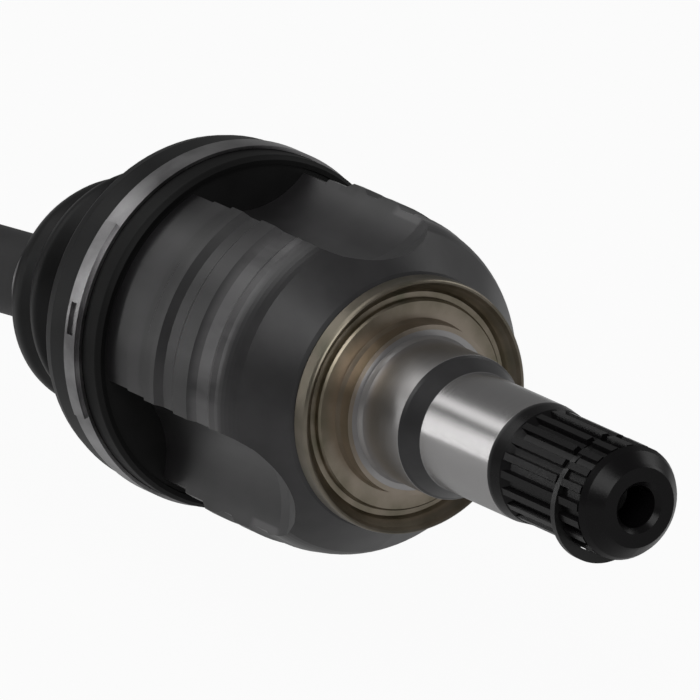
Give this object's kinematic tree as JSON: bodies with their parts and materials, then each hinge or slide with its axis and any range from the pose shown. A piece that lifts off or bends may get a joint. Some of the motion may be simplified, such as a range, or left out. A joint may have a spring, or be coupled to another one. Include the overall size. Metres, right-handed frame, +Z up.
{
  "type": "drive shaft",
  "caption": "Front-wheel drive half shaft: plunging tripod joint with splined gearbox stub, ball joint with splined wheel stem, bellows boots.",
  "frame": {"origin": "middle of the ground bearing journal of the gearbox stub, on its axis", "axes": "+X along the housing axis towards the gearbox; +Z up; the bar runs towards -X and droops"},
  "size_m": [0.6173, 0.0906, 0.1223],
  "materials": {
    "black_steel": "satin black",
    "zinc_yellow": "pale gold zinc",
    "spring_steel": "blackened spring steel",
    "black_plastic": "matt",
    "boot": "satin elastomer",
    "clamp_steel": "bright rolled",
    "forged_steel": "ground",
    "bearing_steel": "polished",
    "bar_steel": "dark grey coated"
  },
  "bodies": {
    "tripod_cup": {"tripod_housing": "black_steel", "dust_cover": "zinc_yellow", "boot_bushing": "black_plastic", "inner_boot": "boot", "inner_clamp_large": "clamp_steel"},
    "circlip": {"stub_circlip": "spring_steel"},
    "lower_needle_set": {"needles_lower": "bearing_steel"},
    "lower_roller": {"roller_lower": "bearing_steel"},
    "shaft": {"shaft_bar": "bar_steel", "tripod_spider": "forged_steel", "spider_snap_ring": "spring_steel", "retainer_lower": "spring_steel", "retainer_right": "spring_steel", "retainer_left": "spring_steel", "needles_right": "bearing_steel", "needles_left": "bearing_steel", "inner_clamp_small": "clamp_steel", "inner_race": "forged_steel", "race_snap_ring": "spring_steel", "outer_clamp_small": "clamp_steel"},
    "right_roller": {"roller_right": "bearing_steel"},
    "left_roller": {"roller_left": "bearing_steel"},
    "cage_and_balls": {"ball_cage": "forged_steel", "joint_balls": "bearing_steel"},
    "bell": {"outer_housing": "black_steel", "outer_boot": "boot", "outer_clamp_large": "clamp_steel"}
  },
  "joints": [
    {"name": "circlip_float", "type": "slide", "parent": "tripod_cup", "child": "circlip", "axis": [0, 0, 1], "range_m": [0, 0.0048]},
    {"name": "plunge", "type": "slide", "parent": "tripod_cup", "child": "lower_needle_set", "axis": [1, 0, 0], "range_m": [-0.016, 0.012], "deforming": ["inner_boot"]},
    {"name": "lower_roller_spin", "type": "hinge", "parent": "lower_needle_set", "child": "lower_roller", "pos_m": [-0.096, 0, 0], "axis": [0.0958, 0, -0.9954], "range_deg": [-43.5, 58]},
    {"name": "inner_swing", "type": "hinge", "parent": "lower_needle_set", "child": "shaft", "pos_m": [-0.096, 0, 0], "axis": [-0.0958, 0, 0.9954], "range_deg": [-16, 16], "deforming": ["inner_boot"]},
    {"name": "right_roller_spin", "type": "hinge", "parent": "shaft", "child": "right_roller", "pos_m": [-0.096, 0, 0], "axis": [-0.0479, 0.866, 0.4977], "range_deg": [-43.5, 58]},
    {"name": "left_roller_spin", "type": "hinge", "parent": "shaft", "child": "left_roller", "pos_m": [-0.096, 0, 0], "axis": [-0.0479, -0.866, 0.4977], "range_deg": [-43.5, 58]},
    {"name": "cage_swing", "type": "hinge", "parent": "shaft", "child": "cage_and_balls", "pos_m": [-0.43444, 0, -0.03259], "axis": [-0.0958, 0, 0.9954], "range_deg": [-21, 21], "deforming": ["outer_boot"]},
    {"name": "bell_swing", "type": "hinge", "parent": "cage_and_balls", "child": "bell", "pos_m": [-0.43444, 0, -0.03259], "axis": [-0.0958, 0, 0.9954], "range_deg": [-21, 21], "deforming": ["outer_boot"]}
  ],
  "couplings": [
    {"joint": "lower_roller_spin", "follows": "plunge", "rad_per_m": -62.5},
    {"joint": "right_roller_spin", "follows": "plunge", "rad_per_m": -62.5},
    {"joint": "left_roller_spin", "follows": "plunge", "rad_per_m": -62.5},
    {"joint": "bell_swing", "follows": "cage_swing", "ratio": 1}
  ]
}
